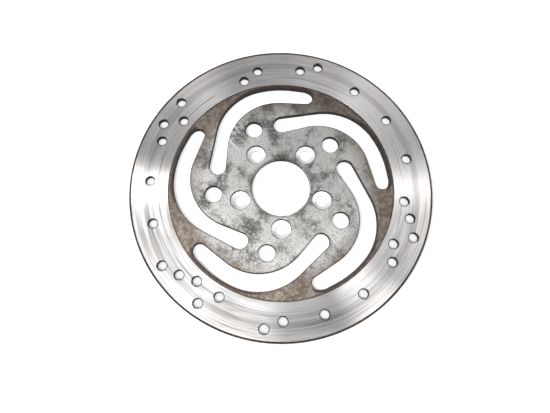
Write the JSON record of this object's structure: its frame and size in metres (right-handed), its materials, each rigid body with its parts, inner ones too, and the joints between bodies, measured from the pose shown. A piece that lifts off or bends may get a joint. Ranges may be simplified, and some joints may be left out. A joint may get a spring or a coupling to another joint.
{
  "type": "brake disc",
  "caption": "Flat motorcycle brake disc: drilled friction ring and slotted carrier cut from one steel plate, with sunk bolt seats round a centre bore.",
  "frame": {"origin": "centre of the bore, on the plane of the back face that seats on the hub", "axes": "+Z along the wheel axle, out of the front face with the sunk bolt seats; -Y through one of the bolt holes"},
  "size_m": [0.2922, 0.2922, 0.0051],
  "materials": {
    "disc_steel": "used stainless steel: ground and circularly scored on the friction track, dull and stained on the carrier"
  },
  "bodies": {
    "root": {"brake_disc": "disc_steel"}
  },
  "joints": []
}
